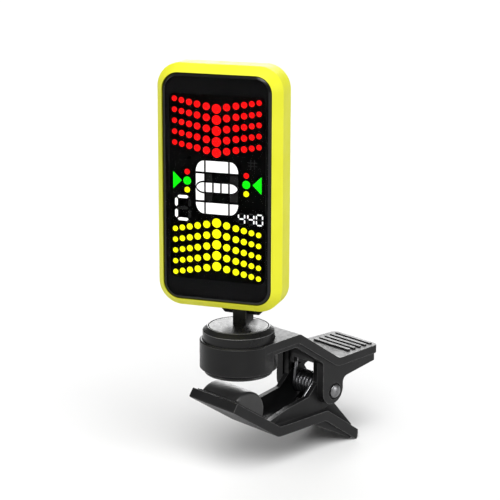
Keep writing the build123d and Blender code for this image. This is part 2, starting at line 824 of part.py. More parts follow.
with BuildPart() as lens_mask:
    with BuildSketch(HEAD.offset(mask_d)):
        upright(*LENS_OUTLINE, inset=2 * FLUSH)
    extrude(amount=MASK_T)
    with BuildSketch(HEAD.offset(mask_d)):
        upright(WINDOW_W, WINDOW_LOW, WINDOW_HIGH, 1.4)
    extrude(amount=MASK_T, mode=Mode.SUBTRACT)
finish(lens_mask, "lens_mask")

# Lens: a clear plate with a bevelled rim
lens_back = mask_d + MASK_T + FLUSH / 2
bevel_d = HEAD_FRONT - LENS_BEVEL_T

with BuildPart() as front_lens:
    with BuildSketch(HEAD.offset(lens_back)):
        upright(*LENS_OUTLINE, inset=FLUSH)
    extrude(amount=bevel_d - lens_back)
    with BuildSketch(HEAD.offset(bevel_d)):
        upright(*LENS_OUTLINE, inset=FLUSH)
    with BuildSketch(HEAD.offset(HEAD_FRONT)):
        upright(*LENS_OUTLINE, inset=FLUSH + LENS_BEVEL)
    loft()
finish(front_lens, "front_lens")

# Display glass, in the ledge's opening and close behind the mask
lcd_back = LEDGE_D - FLUSH - LCD_T

with BuildPart() as lcd_panel:
    with BuildSketch(HEAD.offset(lcd_back)):
        upright(*LCD_OUTLINE)
    extrude(amount=LCD_T)
finish(lcd_panel, "lcd_panel")

with BuildPart() as backlight:
    with BuildSketch(HEAD.offset(lcd_back - FLUSH - LIGHT_T)):
        upright(LCD_W - 0.4, LCD_LOW + 1.8, LCD_HIGH - 1.8, 0.8)
    extrude(amount=LIGHT_T)
finish(backlight, "backlight")

# Two rubber contact strips between the display glass and the board
strip_back = PCB_D + PCB_T + FLUSH

with BuildPart() as contact_strips:
    with BuildSketch(HEAD.offset(strip_back)):
        with Locations((0, LCD_LOW + 0.8), (0, LCD_HIGH - 0.8)):
            Rectangle(LCD_W - 3.0, 1.2)
    extrude(amount=lcd_back - FLUSH - strip_back)
finish(contact_strips, "contact_strips")

# ---------------------------------------------------------------- head, board and battery

# Parts soldered to the board's back stand off it by this much
SOLDER = 0.01
key_places = [(u, KEY_Z) for u, width, height in KEYS.values()]
plunger_tip = PCB_D - SWITCH_T - PLUNGER_T

with BuildPart() as main_pcb:
    with BuildSketch(HEAD.offset(PCB_D)):
        upright(LCD_W + 1.0, LCD_LOW, LCD_HIGH, 0.6)
        with Locations((0, LCD_LOW), (0, LCD_HIGH)):
            Circle(0.8, mode=Mode.SUBTRACT)
    extrude(amount=PCB_T)
finish(main_pcb, "main_pcb")

with BuildPart() as controller_chip:
    with BuildSketch(HEAD.offset(PCB_D - SOLDER)):
        with Locations(CHIP):
            Rectangle(CHIP_W, CHIP_W)
    extrude(amount=-CHIP_T)
finish(controller_chip, "controller_chip")

# Key switches, each with a small plunger
with BuildPart() as key_switches:
    with BuildSketch(HEAD.offset(PCB_D - SOLDER)):
        with Locations(*key_places):
            Rectangle(SWITCH_W, SWITCH_W)
    extrude(amount=SOLDER - SWITCH_T)
    with BuildSketch(HEAD.offset(PCB_D - SWITCH_T)):
        with Locations(*key_places):
            Circle(KEY_STEM_R + 0.1)
    extrude(amount=-PLUNGER_T)
finish(key_switches, "key_switches")

# Piezo pickup, stuck to the back cover next to the hinge: a brass disc with a smaller crystal
with BuildPart() as piezo_disc:
    with BuildSketch(HEAD.offset(PLATE_D + SOLDER)):
        with Locations(PIEZO):
            Circle(PIEZO_R)
    extrude(amount=0.2)
    with BuildSketch(HEAD.offset(PLATE_D + SOLDER + 0.2)):
        with Locations(PIEZO):
            Circle(0.7 * PIEZO_R)
    extrude(amount=0.25)
finish(piezo_disc, "piezo_disc")

# Coin cell: the can, and the smaller raised face of its other pole
with BuildPart() as coin_cell:
    with BuildSketch(HEAD.offset(CELL_D)):
        with Locations((0, CELL_Z)):
            Circle(CELL_R)
    extrude(amount=0.9 * CELL_H)
    with BuildSketch(HEAD.offset(CELL_D)):
        with Locations((0, CELL_Z)):
            Circle(0.88 * CELL_R)
    extrude(amount=CELL_H)
finish(coin_cell, "coin_cell")

# Contact behind the cell: a strip with two dimples
with BuildPart() as negative_contact:
    with BuildSketch(HEAD.offset(PCB_D - SOLDER)):
        with Locations((0, CELL_Z)):
            RectangleRounded(9.0, 3.0, 0.5)
    extrude(amount=-CONTACT_T)
    with BuildSketch(HEAD.offset(PCB_D - CONTACT_T)):
        with Locations((-2.5, CELL_Z), (2.5, CELL_Z)):
            Circle(0.9)
    extrude(amount=CELL_D + CELL_H + FLUSH / 2 - PCB_D + CONTACT_T)
finish(negative_contact, "negative_contact")

# Contact beside the cell: a strip bent to its rim, with a foot on the board
strip_d = CELL_D + 0.4
rim_r = CELL_R + FLUSH

with BuildPart() as positive_contact:
    with BuildSketch(HEAD.offset(strip_d)):
        with BuildLine():
            inner = CenterArc((0, CELL_Z), rim_r, 250, 40)
            outer = CenterArc((0, CELL_Z), rim_r + CONTACT_T, 250, 40)
            Line(inner @ 0, outer @ 0)
            Line(inner @ 1, outer @ 1)
        make_face()
    extrude(amount=PCB_D - SOLDER - strip_d)
    with BuildSketch(HEAD.offset(PCB_D - SOLDER)):
        with Locations((0, CELL_Z - CELL_R - 1.0)):
            Rectangle(3.0, 1.7)
    extrude(amount=-CONTACT_T)
finish(positive_contact, "positive_contact")

# ---------------------------------------------------------------- head, back

HUMP_OUTLINE = (HUMP_W, HUMP_LOW, HUMP_HIGH, HUMP_CORNER)
skin_d = HUMP_D + HUMP_WALL  # inner face of the housing's skin
lip_d = HUMP_D + LIP_T
rail_out = HATCH_W / 2 + HATCH_RAIL
rail_in_d = lip_d + RAIL_T + 2 * SLIDING
arm_top_z = HUMP_LOW + 1.5
arm_low_z = HEAD_LOW + 0.9
arm_d = HEAD_BACK - ARM_GAP


def key_face(width, height, grow):
    """A key's outline, grown all round: round, or a slot standing up."""
    if width == height:
        Circle(width / 2 + grow)
    else:
        SlotOverall(height + 2 * grow, width + 2 * grow, rotation=90)


def hinge_arm(side):
    """One of the two arms from the housing's foot down to the tilt hinge."""
    with BuildPart() as arm:
        with BuildSketch(NECK_SIDE.offset(side * EAR_GAP)):
            with Locations((TILT_D, TILT_Z)):
                Circle(TILT_R)
            with Locations((HUMP_D, arm_low_z)):
                Rectangle(arm_d - HUMP_D, arm_top_z - arm_low_z, align=Align.MIN)
            make_hull()
        extrude(amount=side * (EAR_END - EAR_GAP))
        outer_face = arm.faces().sort_by(Axis((0, 0, 0), side * NECK_SIDE.z_dir))[-1]
        chamfer(outer_face.edges(), EAR_CHAMFER)
    return arm.part


# Web between the arms, clear of the neck's swing, and the root that joins both to the plate
with BuildPart() as arm_web:
    with BuildSketch(NECK_SIDE):
        with BuildLine():
            Polyline(
                (TILT_D + 5.2, TILT_Z + 6.4),
                (HUMP_D, arm_top_z),
                (arm_d, arm_top_z),
                (arm_d, arm_low_z),
                (TILT_D + 6.4, TILT_Z + 1.6),
                (TILT_D + 5.2, TILT_Z + 2.2),
                close=True,
            )
        make_face()
    extrude(amount=EAR_GAP + 0.5, both=True)
    with BuildSketch(NECK_SIDE):
        with Locations((arm_d - 0.5, CAVITY_LOW + 0.3)):
            Rectangle(1.25, arm_top_z - CAVITY_LOW - 0.3, align=Align.MIN)
    extrude(amount=EAR_END - EAR_CHAMFER, both=True)

hinge_arms = [hinge_arm(side) for side in (1, -1)]

# Back cover: a plate in the frame, the raised housing and the hinge arms
with BuildPart() as back_cover:
    with BuildSketch(HEAD.offset(HEAD_BACK + 2 * FLUSH)):
        upright(*CAVITY_OUTLINE, inset=2 * FLUSH)
    extrude(amount=PLATE_D - HEAD_BACK - 2 * FLUSH)
    with BuildSketch(HEAD.offset(HUMP_D + HUMP_CHAMFER)):
        upright(*HUMP_OUTLINE)
    extrude(amount=PLATE_D - 0.2 - HUMP_D - HUMP_CHAMFER)
    with BuildSketch(HEAD.offset(HUMP_D + HUMP_CHAMFER)):
        upright(*HUMP_OUTLINE)
    with BuildSketch(HEAD.offset(HUMP_D)):
        upright(*HUMP_OUTLINE, inset=HUMP_CHAMFER)
    loft()
    add(hinge_arms)
    add(arm_web.part)
    # Hollow of the housing, open to the front
    with BuildSketch(HEAD.offset(skin_d)):
        upright(*HUMP_OUTLINE, inset=HUMP_WALL)
    extrude(amount=PLATE_D - HUMP_D, mode=Mode.SUBTRACT)
    # Inner rails that the hatch rides on
    with BuildSketch(HEAD.offset(rail_in_d)):
        with Locations((rail_out, CELL_Z), (-rail_out, CELL_Z)):
            Rectangle(2 * HATCH_RAIL, HUMP_HIGH - HATCH_LOW - 3.0)
    extrude(amount=0.6)
    # Hatch opening through the housing's skin and its top wall, and the grooves beside it
    with BuildSketch(HEAD.offset(HUMP_D - 1)):
        with Locations((0, HATCH_LOW)):
            Rectangle(HATCH_W, HUMP_HIGH, align=(Align.CENTER, Align.MIN))
    extrude(amount=1 + HUMP_WALL, mode=Mode.SUBTRACT)
    with BuildSketch(HEAD.offset(HUMP_D - 1)):
        with Locations((0, HUMP_HIGH - 2 * HUMP_WALL)):
            Rectangle(HATCH_W, HUMP_HIGH, align=(Align.CENTER, Align.MIN))
    extrude(amount=1 + HEAD_BACK + 2 * FLUSH - HUMP_D, mode=Mode.SUBTRACT)
    with BuildSketch(HEAD.offset(lip_d)):
        with Locations((0, HATCH_LOW)):
            Rectangle(2 * (rail_out + SLIDING), HUMP_HIGH, align=(Align.CENTER, Align.MIN))
    extrude(amount=rail_in_d - lip_d, mode=Mode.SUBTRACT)
    # Key openings
    with BuildSketch(HEAD.offset(HUMP_D - 1)):
        for u, width, height in KEYS.values():
            with Locations((u, KEY_Z)):
                key_face(width, height, SLIDING)
    extrude(amount=1 + HUMP_WALL, mode=Mode.SUBTRACT)
    # Case screw holes, with counterbores
    with BuildSketch(HEAD.offset(HEAD_BACK)):
        with Locations(*POSTS):
            Circle(CASE_SCREW_R)
    extrude(amount=PLATE_D, mode=Mode.SUBTRACT)
    with BuildSketch(HEAD.offset(HEAD_BACK)):
        with Locations(*POSTS):
            Circle(CASE_HEAD_R + SLIDING)
    extrude(amount=CASE_HEAD_T + 3 * FLUSH, mode=Mode.SUBTRACT)
    # Tilt screw's hole, with a round pocket for its head and a six-sided one for its nut
    with BuildSketch(NECK_SIDE.offset(-EAR_END)):
        with Locations((TILT_D, TILT_Z)):
            Circle(TILT_SCREW_R)
    extrude(amount=2 * EAR_END, mode=Mode.SUBTRACT)
    with BuildSketch(NECK_SIDE.offset(TILT_POCKET - EAR_END)):
        with Locations((TILT_D, TILT_Z)):
            Circle(TILT_HEAD_R + SLIDING)
    extrude(amount=-TILT_POCKET, mode=Mode.SUBTRACT)
    with BuildSketch(NECK_SIDE.offset(EAR_END - TILT_POCKET)):
        with Locations((TILT_D, TILT_Z)):
            RegularPolygon(TILT_NUT_R + FLUSH, 6)
    extrude(amount=TILT_POCKET, mode=Mode.SUBTRACT)
finish(back_cover, "back_cover")

# Battery hatch: a panel with side rails and an end wall, which slides up off the housing
panel_w = HATCH_W - 2 * SLIDING

with BuildPart() as battery_hatch:
    with BuildSketch(HEAD.offset(HUMP_D)):
        with Locations((0, HATCH_LOW + SLIDING)):
            Rectangle(
                panel_w,
                HUMP_HIGH - HUMP_CHAMFER - HATCH_LOW - SLIDING,
                align=(Align.CENTER, Align.MIN),
            )
    extrude(amount=HUMP_WALL - 2 * FLUSH)
    with BuildSketch(HEAD.offset(HUMP_D + HUMP_CHAMFER)):
        with Locations((0, HUMP_HIGH)):
            Rectangle(panel_w, HUMP_WALL, align=(Align.CENTER, Align.MAX))
    extrude(amount=arm_d - HUMP_D - HUMP_CHAMFER)
    with BuildSketch(HEAD.offset(lip_d + SLIDING)):
        with Locations((0, HATCH_LOW + 2 * SLIDING)):
            Rectangle(
                2 * (rail_out - SLIDING),
                HUMP_HIGH - HUMP_WALL - HATCH_LOW - 2 * SLIDING,
                align=(Align.CENTER, Align.MIN),
            )
    extrude(amount=RAIL_T)
    # Thumb ridges
    ridges = [(0, HUMP_HIGH - 4.0 - 1.3 * i) for i in range(5)]
    with BuildSketch(HEAD.offset(HUMP_D)):
        with Locations(*ridges):
            SlotOverall(9.0, 0.6)
    extrude(amount=-0.25)
finish(battery_hatch, "battery_hatch")

# Keys: a face that stands proud, a hidden rim, and a stem just short of the switch's plunger
stem_tip = plunger_tip - KEY_TRAVEL - FLUSH

for label, (u, width, height) in KEYS.items():
    with BuildPart() as key:
        with BuildSketch(HEAD.offset(HUMP_D - KEY_PROUD)):
            with Locations((u, KEY_Z)):
                key_face(width, height, 0)
        extrude(amount=KEY_PROUD + HUMP_WALL + 2 * FLUSH)
        with BuildSketch(HEAD.offset(skin_d + FLUSH)):
            with Locations((u, KEY_Z)):
                key_face(width, height, KEY_RIM)
        extrude(amount=KEY_RIM)
        with BuildSketch(HEAD.offset(skin_d + FLUSH)):
            with Locations((u, KEY_Z)):
                Circle(KEY_STEM_R)
        extrude(amount=stem_tip - skin_d - FLUSH)
    finish(key, label)

# ---------------------------------------------------------------- fasteners of the head

case_head_d = HEAD_BACK + 2 * FLUSH

with BuildPart() as case_screws:
    with BuildSketch(HEAD.offset(case_head_d)):
        with Locations(*POSTS):
            Circle(CASE_HEAD_R)
    extrude(amount=CASE_HEAD_T)
    with BuildSketch(HEAD.offset(case_head_d)):
        with Locations(*POSTS):
            Circle(CASE_SCREW_R)
    extrude(amount=PLATE_D + CASE_SCREW_LEN - 0.3 - case_head_d)
    with BuildSketch(HEAD.offset(case_head_d)):
        with Locations(*POSTS):
            cross_recess(1.75)
    extrude(amount=CASE_HEAD_T / 2, mode=Mode.SUBTRACT)
finish(case_screws, "case_screws")

tilt_head_u = EAR_END - 2 * FLUSH

with BuildPart() as tilt_screw:
    with BuildSketch(NECK_SIDE.offset(-tilt_head_u)):
        with Locations((TILT_D, TILT_Z)):
            Circle(TILT_HEAD_R)
    extrude(amount=TILT_POCKET - 2 * FLUSH)
    with BuildSketch(NECK_SIDE.offset(-tilt_head_u)):
        with Locations((TILT_D, TILT_Z)):
            Circle(TILT_SCREW_R)
    extrude(amount=2 * tilt_head_u)
    with BuildSketch(NECK_SIDE.offset(-tilt_head_u)):
        with Locations((TILT_D, TILT_Z)):
            cross_recess(2.2)
    extrude(amount=TILT_POCKET / 2, mode=Mode.SUBTRACT)
finish(tilt_screw, "tilt_screw")

with BuildPart() as tilt_nut:
    with BuildSketch(NECK_SIDE.offset(EAR_END - TILT_POCKET)):
        with Locations((TILT_D, TILT_Z)):
            RegularPolygon(TILT_NUT_R, 6)
            Circle(TILT_SCREW_R, mode=Mode.SUBTRACT)
    extrude(amount=TILT_POCKET - 2 * FLUSH)
finish(tilt_nut, "tilt_nut")
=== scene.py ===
"""Looks of the clip-on tuner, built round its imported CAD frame.

Lengths are in metres, unless a name or a comment says millimetres.
"""

import json
import math

import bmesh
import bpy
from mathutils import Matrix, Vector


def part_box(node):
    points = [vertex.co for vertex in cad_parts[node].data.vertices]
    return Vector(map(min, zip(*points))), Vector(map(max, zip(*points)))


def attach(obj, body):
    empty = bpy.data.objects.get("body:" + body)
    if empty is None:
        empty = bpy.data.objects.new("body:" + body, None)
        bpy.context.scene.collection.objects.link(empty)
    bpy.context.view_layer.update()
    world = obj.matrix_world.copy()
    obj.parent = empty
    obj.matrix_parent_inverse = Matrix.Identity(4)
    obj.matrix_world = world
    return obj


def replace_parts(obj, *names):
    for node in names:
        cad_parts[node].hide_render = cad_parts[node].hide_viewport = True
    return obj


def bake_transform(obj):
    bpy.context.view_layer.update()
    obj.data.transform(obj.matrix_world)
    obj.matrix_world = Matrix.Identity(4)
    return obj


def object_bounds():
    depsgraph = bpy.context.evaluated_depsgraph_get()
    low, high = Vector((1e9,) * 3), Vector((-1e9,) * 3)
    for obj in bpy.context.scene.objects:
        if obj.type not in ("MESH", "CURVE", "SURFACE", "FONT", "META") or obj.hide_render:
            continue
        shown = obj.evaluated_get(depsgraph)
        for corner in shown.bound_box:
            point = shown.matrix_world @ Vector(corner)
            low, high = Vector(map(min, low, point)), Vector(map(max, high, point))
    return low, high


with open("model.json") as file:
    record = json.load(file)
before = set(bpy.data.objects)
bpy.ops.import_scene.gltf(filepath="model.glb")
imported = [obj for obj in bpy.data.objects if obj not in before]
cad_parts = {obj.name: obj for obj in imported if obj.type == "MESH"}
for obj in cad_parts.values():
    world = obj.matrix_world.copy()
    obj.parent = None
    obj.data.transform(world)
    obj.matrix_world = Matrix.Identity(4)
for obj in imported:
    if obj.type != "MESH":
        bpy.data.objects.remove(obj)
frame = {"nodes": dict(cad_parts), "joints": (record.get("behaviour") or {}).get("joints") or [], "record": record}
cad_low, cad_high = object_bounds()

MM = 0.001
UP = Vector((0, 0, 1))
JOINTS = {joint["name"]: joint for joint in frame["joints"]}
ACROSS = Vector(JOINTS["tilt_hinge"]["axis"]).normalized()
FRONT = ACROSS.cross(UP).normalized()
PIVOT = Vector(JOINTS["jaw_hinge"]["pos_m"])


def reach(node, direction):
    """How far a CAD node reaches along a direction: its lowest and highest value, in metres."""
    along = [vertex.co.dot(direction) for vertex in frame["nodes"][node].data.vertices]
    return min(along), max(along)


def on_head(across, up, depth):
    """A point of the head from millimetres across it and up, and metres in front of the axis."""
    return ACROSS * (across * MM) + UP * (up * MM) + FRONT * depth


# ---------------------------------------------------------------- materials

EDGE_MM = 0.3  # width of the paler line on an edge: rubbed wear and a painted highlight
EDGE_TURN = (0.8, 0.99)  # cosine of the rounded normal's turn: on a full edge, and on none
EDGE_OPEN = (0.72, 0.95)  # share of open sky: in a corner, and on an edge that sticks out
EDGE_REACH = 2.5  # how far the open sky is looked for, in edge widths


class Finish:
    """A material under construction: a principled shader and the nodes that feed it."""

    def __init__(self, name, color, roughness, **sockets):
        self.material = bpy.data.materials.new(name)
        self.material.use_nodes = True
        self.tree = self.material.node_tree
        self.shader = self.tree.nodes["Principled BSDF"]
        self.place = self.tree.nodes.new("ShaderNodeTexCoord").outputs["Object"]
        self.shader.inputs["Base Color"].default_value = (*color, 1)
        self.shader.inputs["Roughness"].default_value = roughness
        for socket, value in sockets.items():
            self.shader.inputs[socket.replace("_", " ")].default_value = value

    def node(self, kind, **inputs):
        made = self.tree.nodes.new(kind)
        for socket, value in inputs.items():
            target = made.inputs[socket.replace("_", " ")]
            if isinstance(value, bpy.types.NodeSocket):
                self.tree.links.new(value, target)
            else:
                target.default_value = value
        return made

    def noise(self, size_mm, detail=2.0, stretch=None, roughness=0.5):
        """Noise with features about size_mm across, from 0 to 1."""
        place = self.place
        if stretch:
            place = self.node("ShaderNodeMapping", Vector=place, Scale=stretch).outputs[0]
        made = self.node("ShaderNodeTexNoise", Vector=place, Scale=1 / (size_mm * MM))
        made.inputs["Detail"].default_value = detail
        made.inputs["Roughness"].default_value = roughness
        return made.outputs["Fac"]

    def spread(self, value, low, high, start=0.3, stop=0.7):
        """A value from start to stop, spread over low to high."""
        made = self.node("ShaderNodeMapRange", Value=value)
        made.inputs["From Min"].default_value = start
        made.inputs["From Max"].default_value = stop
        made.inputs["To Min"].default_value = low
        made.inputs["To Max"].default_value = high
        return made.outputs["Result"]

    def mix(self, factor, first, second):
        made = self.tree.nodes.new("ShaderNodeMix")
        made.data_type = "RGBA"
        self.tree.links.new(factor, made.inputs["Factor"])
        for socket, value in (("A", first), ("B", second)):
            target = next(s for s in made.inputs if s.name == socket and s.type == "RGBA")
            if isinstance(value, bpy.types.NodeSocket):
                self.tree.links.new(value, target)
            else:
                target.default_value = (*value, 1)
        return next(s for s in made.outputs if s.type == "RGBA")

    def math(self, operation, first, second=0.0, clamp=False):
        made = self.tree.nodes.new("ShaderNodeMath")
        made.operation = operation
        made.use_clamp = clamp
        for socket, value in zip(made.inputs, (first, second)):
            if isinstance(value, bpy.types.NodeSocket):
                self.tree.links.new(value, socket)
            else:
                socket.default_value = value
        return made.outputs[0]

    def edges(self, width_mm):
        """1 within width_mm of an edge that sticks out, and 0 on flats and in corners."""
        rounded = self.node("ShaderNodeBevel", Radius=width_mm * MM)
        rounded.samples = 4
        plain = self.tree.nodes.new("ShaderNodeNewGeometry").outputs["Normal"]
        turn = self.tree.nodes.new("ShaderNodeVectorMath")
        turn.operation = "DOT_PRODUCT"
        self.tree.links.new(rounded.outputs["Normal"], turn.inputs[0])
        self.tree.links.new(plain, turn.inputs[1])
        turned_away = self.spread(turn.outputs["Value"], 1, 0, *EDGE_TURN)
        open_air = self.tree.nodes.new("ShaderNodeAmbientOcclusion")
        open_air.samples = 6
        open_air.inputs["Distance"].default_value = EDGE_REACH * width_mm * MM
        sticks_out = self.spread(open_air.outputs["AO"], 0, 1, *EDGE_OPEN)
        return self.math("MULTIPLY", turned_away, sticks_out)

    def color(self, value):
        self.tree.links.new(value, self.shader.inputs["Base Color"])

    def rough(self, value):
        self.tree.links.new(value, self.shader.inputs["Roughness"])

    def bump(self, *layers):
        """Bump from layers of (height, depth in mm, strength), the first one the finest."""
        normal = None
        for height, depth_mm, strength in layers:
            made = self.node("ShaderNodeBump", Height=height)
            made.inputs["Distance"].default_value = depth_mm * MM
            made.inputs["Strength"].default_value = strength
            if normal:
                self.tree.links.new(normal, made.inputs["Normal"])
            normal = made.outputs["Normal"]
        self.tree.links.new(normal, self.shader.inputs["Normal"])


def moulded(name, color, edge_wear_highlight, roughness, grain_mm=0.16, grain_depth=0.012, specular=0.3):
    """Spark-textured moulded plastic: fine grain, uneven sheen, paler edges that are rubbed wear and a painted
    highlight, dust.
    """
    finish = Finish(name, color, roughness, Specular_IOR_Level=specular)
    grain = finish.noise(grain_mm, detail=3)
    flow = finish.noise(9.0, detail=2)
    rub = finish.noise(2.2, detail=4, roughness=0.65)
    scuff = finish.noise(0.7, detail=4, roughness=0.6)
    wear_and_highlight = finish.math("MULTIPLY", finish.edges(EDGE_MM), finish.spread(rub, 0.4, 1.0, 0.38, 0.62))
    shade = finish.mix(finish.spread(flow, 0, 1), color, tuple(1.35 * c + 0.001 for c in color))
    # Edges that stick out are painted paler: partly rubbed wear, partly a painted highlight.
    finish.color(finish.mix(wear_and_highlight, shade, edge_wear_highlight))
    base = finish.spread(flow, roughness - 0.05, roughness + 0.06)
    marks = finish.spread(scuff, -0.05, 0.06, 0.42, 0.66)
    finish.rough(finish.math("ADD", base, marks, clamp=True))
    finish.bump((grain, grain_depth, 0.5), (rub, 0.02, 0.12))
    return finish.material


def yellow_plastic():
    """Satin yellow plastic: soft depth, orange peel, faint handling marks, paler edges that are rubbed wear and a
    painted highlight.
    """
    finish = Finish("yellow_plastic", (0.565, 0.565, 0.028), 0.45, Specular_IOR_Level=0.08)
    finish.shader.inputs["Subsurface Weight"].default_value = 0.12
    finish.shader.inputs["Subsurface Radius"].default_value = (1.0, 0.9, 0.2)
    finish.shader.inputs["Subsurface Scale"].default_value = 0.4 * MM
    flow = finish.noise(11.0, detail=2)
    peel = finish.noise(0.55, detail=2)
    grain = finish.noise(0.12, detail=2)
    smudge = finish.noise(3.5, detail=5, roughness=0.6)
    shade = finish.mix(finish.spread(flow, 0, 1), (0.55, 0.55, 0.024), (0.58, 0.58, 0.032))
    wear_and_highlight = finish.math("MULTIPLY", finish.edges(EDGE_MM), finish.spread(smudge, 0, 0.45, 0.4, 0.65))
    # Edges that stick out are painted paler: partly rubbed wear, partly a painted highlight.
    finish.color(finish.mix(wear_and_highlight, shade, (0.72, 0.72, 0.12)))
    finish.rough(finish.spread(smudge, 0.38, 0.52))
    finish.bump((grain, 0.006, 0.25), (peel, 0.02, 0.18))
    return finish.material


def rubber(name, color, roughness, grain_mm=0.25):
    """Matt silicone: pores, wiped patches and a powdery bloom."""
    finish = Finish(name, color, roughness, Specular_IOR_Level=0.4)
    finish.shader.inputs["Sheen Weight"].default_value = 0.12
    finish.shader.inputs["Sheen Roughness"].default_value = 0.5
    bloom = finish.noise(3.0, detail=5, roughness=0.62)
    pores = finish.noise(grain_mm, detail=3)
    powdered = tuple(1.7 * c + 0.004 for c in color)
    finish.color(finish.mix(finish.spread(bloom, 0, 1, 0.4, 0.7), color, powdered))
    finish.rough(finish.spread(bloom, roughness - 0.06, roughness + 0.12))
    finish.bump((pores, 0.02, 0.35), (bloom, 0.03, 0.12))
    return finish.material


def metal(name, color, roughness, brushed=(1.0, 0.05, 1.0)):
    """Drawn or turned metal: fine lines one way, and dull, dirtier patches."""
    finish = Finish(name, color, roughness, Metallic=1.0)
    lines = finish.noise(0.22, detail=4, stretch=brushed)
    dull = finish.noise(1.6, detail=4, roughness=0.6)
    dirty = tuple(0.62 * c for c in color)
    finish.color(finish.mix(finish.spread(dull, 0, 1, 0.42, 0.72), color, dirty))
    scratches = finish.spread(lines, -0.06, 0.08)
    finish.rough(finish.math("ADD", scratches, finish.spread(dull, roughness, roughness + 0.12)))
    finish.bump((lines, 0.008, 0.3))
    return finish.material


def clear_lens():
    """Polished clear plastic with the faintest smears."""
    finish = Finish("clear_lens", (1, 1, 1), 0.015, Transmission_Weight=1.0, IOR=1.04)
    smear = finish.noise(5.0, detail=4, stretch=(1.0, 1.0, 0.35), roughness=0.6)
    hair = finish.noise(0.9, detail=2, stretch=(0.2, 0.2, 1.0))
    finish.rough(finish.spread(smear, 0.008, 0.05, 0.45, 0.75))
    finish.bump((hair, 0.002, 0.05))
    return finish.material


def printed_mask():
    """Black print seen through the lens: fine screen grain, slightly uneven."""
    finish = Finish("printed_mask", (0.0045, 0.0045, 0.0047), 0.5, Specular_IOR_Level=0.0)
    screen = finish.noise(0.14, detail=2)
    cloud = finish.noise(7.0, detail=3)
    dark = finish.mix(finish.spread(cloud, 0, 1), (0.0035, 0.0035, 0.0037), (0.005, 0.005, 0.0052))
    finish.color(finish.mix(finish.spread(screen, 0, 0.4), dark, (0.007, 0.007, 0.0074)))
    finish.rough(finish.spread(screen, 0.42, 0.6))
    finish.bump((screen, 0.004, 0.3))
    return finish.material


def display_glass():
    """The display's dark ground, with its faint row lines."""
    finish = Finish("display_glass", (0.0003, 0.0003, 0.0004), 0.2, Specular_IOR_Level=0.02)
    rows = finish.noise(0.3, detail=1, stretch=(0.02, 0.02, 1.0))
    cloud = finish.noise(6.0, detail=3)
    finish.color(finish.mix(finish.spread(cloud, 0, 1), (0.0002, 0.0002, 0.0003), (0.0005, 0.0005, 0.0007)))
    finish.rough(finish.spread(rows, 0.08, 0.2))
    finish.bump((rows, 0.001, 0.1))
    return finish.material


def lit(name, color, strength=1.0):
    """A lit display segment: glowing, with a fine grain and slightly uneven brightness."""
    finish = Finish(name, tuple(0.25 * c for c in color), 0.4, Specular_IOR_Level=0.1)
    grain = finish.noise(0.09, detail=2)
    cloud = finish.noise(2.4, detail=2)
    dim = tuple(0.86 * c for c in color)
    glow = finish.mix(finish.spread(finish.math("MULTIPLY", grain, cloud), 0, 1, 0.12, 0.32), dim, color)
    finish.tree.links.new(glow, finish.shader.inputs["Emission Color"])
    finish.shader.inputs["Emission Strength"].default_value = strength
    finish.rough(finish.spread(grain, 0.3, 0.5))
    return finish.material


def circuit_board():
    """Green solder mask over faint copper tracks."""
    finish = Finish("circuit_board", (0.012, 0.12, 0.045), 0.32)
    tracks = finish.node("ShaderNodeTexBrick", Vector=finish.place, Scale=1 / (6 * MM)).outputs["Fac"]
    weave = finish.noise(0.3, detail=3)
    finish.color(finish.mix(tracks, (0.010, 0.10, 0.038), (0.03, 0.22, 0.07)))
    finish.rough(finish.spread(weave, 0.25, 0.42))
    finish.bump((weave, 0.01, 0.3), (tracks, 0.03, 0.4))
    return finish.material


def milky(name, color):
    """A cloudy light guide."""
    finish = Finish(name, color, 0.4)
    cloud = finish.noise(4.0, detail=3)
    finish.color(finish.mix(finish.spread(cloud, 0, 1), color, tuple(0.88 * c for c in color)))
    finish.rough(finish.spread(cloud, 0.3, 0.5))
    return finish.material


BLACK = moulded("black_plastic", (0.006, 0.006, 0.0062), (0.12, 0.12, 0.121), 0.38, specular=0.16)
BLACK_FINE = moulded(
    "black_plastic_fine", (0.009, 0.009, 0.0092), (0.12, 0.12, 0.121), 0.34, 0.12, 0.008, 0.14
)
# The neck's black is painted paler than the other black parts: painted light for the light it lacks under the
# head.
NECK_BLACK_PAINTED_LIGHT = moulded("neck_plastic_painted_light", (0.02, 0.02, 0.0205), (0.16, 0.16, 0.161), 0.34, 0.12, 0.008, 0.14)
# Paler black for the rounded edges that stick out: a painted highlight.
BLACK_EDGE_HIGHLIGHT = moulded(
    "black_plastic_edge_highlight", (0.085, 0.085, 0.086), (0.16, 0.16, 0.161), 0.3, 0.12, 0.006, 0.5
)
RIM = moulded("lens_rim", (0.002, 0.002, 0.0022), (0.02, 0.02, 0.02), 0.14, 0.1, 0.001, 0.3)
YELLOW = yellow_plastic()
PAD_RUBBER = rubber("pad_rubber", (0.004, 0.004, 0.004), 0.4)
KEY_RUBBER = rubber("key_rubber", (0.014, 0.014, 0.0145), 0.5, 0.18)
STEEL = metal("bright_steel", (0.2, 0.2, 0.205), 0.3)
SPRING_STEEL = metal("spring_steel", (0.25, 0.25, 0.26), 0.26, brushed=(1.0, 1.0, 1.0))
BLACK_ZINC = metal("black_zinc", (0.07, 0.07, 0.075), 0.36)
NICKEL = metal("nickel", (0.66, 0.65, 0.62), 0.24)
BRASS = metal("bare_brass", (0.68, 0.5, 0.2), 0.3)
LENS = clear_lens()
MASK = printed_mask()
DISPLAY = display_glass()
GUIDE = milky("light_guide", (0.85, 0.86, 0.88))
BOARD = circuit_board()
COMPONENT = moulded("component_black", (0.02, 0.02, 0.02), (0.06, 0.06, 0.06), 0.5)
RED = lit("lit_red", (1.0, 0.0, 0.0))
AMBER = lit("lit_yellow", (1.0, 1.0, 0.0))
GREEN = lit("lit_green", (0.0, 1.0, 0.0))
